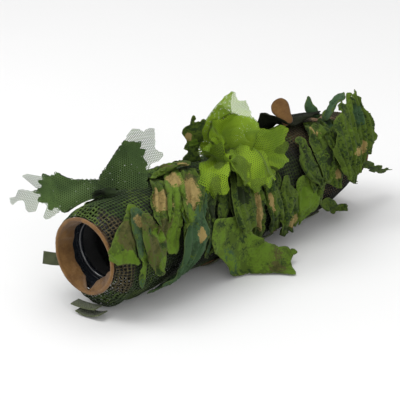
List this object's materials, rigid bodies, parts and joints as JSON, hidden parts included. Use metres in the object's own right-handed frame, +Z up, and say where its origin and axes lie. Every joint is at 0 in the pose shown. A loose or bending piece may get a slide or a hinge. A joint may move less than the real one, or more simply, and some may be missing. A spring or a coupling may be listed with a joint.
{
  "type": "riflescope ghillie cover",
  "caption": "Slack net sleeve with tan bound openings and loose leaf-cut camouflage cloth and tulle, slipped over a riflescope to hide its outline.",
  "frame": {"origin": "on the ground under the middle of the whole cover, leaves included", "axes": "+Y along the sleeve from the front opening to the rear one, +Z up, +X to the right when looking along +Y"},
  "size_m": [0.1912, 0.4505, 0.176],
  "materials": {
    "tan_cloth": "matte",
    "liner_ring": "gloss",
    "liner_cloth": "satin",
    "net_mesh": "matte",
    "webbing": "matte",
    "hook_loop": "matte",
    "dark_tulle": "matte",
    "lime_tulle": "matte",
    "camo_cloth": "matte"
  },
  "bodies": {
    "sleeve": {"front_binding": "tan_cloth", "rear_binding": "tan_cloth", "front_cuff": "tan_cloth", "rear_cuff": "tan_cloth", "slot_binding_right": "tan_cloth", "slot_binding_left": "tan_cloth", "front_liner_ring": "liner_ring", "rear_liner_ring": "liner_ring", "front_liner": "liner_cloth", "rear_liner": "liner_cloth", "front_net": "net_mesh", "middle_net": "net_mesh", "rear_net": "net_mesh", "front_belly_strap": "webbing", "rear_belly_strap": "webbing", "rear_floor_strap": "webbing", "front_strap_upper_fold": "webbing", "front_strap_lower_fold": "webbing", "front_belly_hook_patch": "hook_loop", "rear_belly_hook_patch": "hook_loop", "tulle_knot": "dark_tulle", "lime_back_petal": "lime_tulle", "lime_bowl_petal": "lime_tulle", "lime_front_petal": "lime_tulle", "lime_right_petal": "lime_tulle", "lime_left_petal": "lime_tulle", "front_side_leaf": "camo_cloth", "olive_side_leaf": "camo_cloth", "tan_print_band": "camo_cloth", "teal_drape": "camo_cloth", "top_crest_leaf": "camo_cloth", "jagged_crest_leaf": "camo_cloth", "dark_side_strip": "camo_cloth", "ground_flap": "camo_cloth", "gathered_side_leaf": "camo_cloth", "tan_spot_leaf": "camo_cloth", "bright_side_leaf": "camo_cloth", "pointed_top_leaf": "camo_cloth", "bright_rear_leaf": "camo_cloth", "big_rear_leaf": "camo_cloth", "rear_top_leaf": "camo_cloth", "oak_tail_leaf": "camo_cloth", "rear_tail_leaf": "camo_cloth", "far_ground_flap": "camo_cloth", "far_front_leaf": "camo_cloth", "far_olive_leaf": "camo_cloth", "far_middle_leaf": "camo_cloth", "far_teal_leaf": "camo_cloth", "far_rear_leaf": "camo_cloth", "far_tail_leaf": "camo_cloth"},
    "turret_flap": {"turret_flap": "camo_cloth"},
    "pull_tab": {"pull_tab": "tan_cloth"},
    "strap_tail": {"front_strap_tail": "webbing"},
    "left_wing": {"left_tulle_wing": "dark_tulle"},
    "upright_wing": {"upright_tulle_wing": "dark_tulle"}
  },
  "joints": [
    {"name": "turret_flap_hinge", "type": "hinge", "parent": "sleeve", "child": "turret_flap", "pos_m": [-0.0276, 0.093, 0.1002], "axis": [0, -1, 0], "range_deg": [0, 100]},
    {"name": "pull_tab_bend", "type": "hinge", "parent": "turret_flap", "child": "pull_tab", "pos_m": [0.00776, 0.084, 0.11467], "axis": [0, -1, 0], "range_deg": [-35, 35], "stiffness_Nm_per_rad": 0.002},
    {"name": "strap_tail_bend", "type": "hinge", "parent": "sleeve", "child": "strap_tail", "pos_m": [-0.0424, -0.201, 0.041], "axis": [0, 0, 1], "range_deg": [-30, 30], "stiffness_Nm_per_rad": 0.002},
    {"name": "left_wing_bend", "type": "hinge", "parent": "sleeve", "child": "left_wing", "pos_m": [-0.019, -0.175, 0.111], "axis": [-0.6, 0.8, 0], "range_deg": [-6, 35], "stiffness_Nm_per_rad": 0.01},
    {"name": "upright_wing_bend", "type": "hinge", "parent": "sleeve", "child": "upright_wing", "pos_m": [-0.002, -0.163, 0.114], "axis": [0.7507, 0.6606, 0], "range_deg": [-20, 20], "stiffness_Nm_per_rad": 0.01}
  ]
}
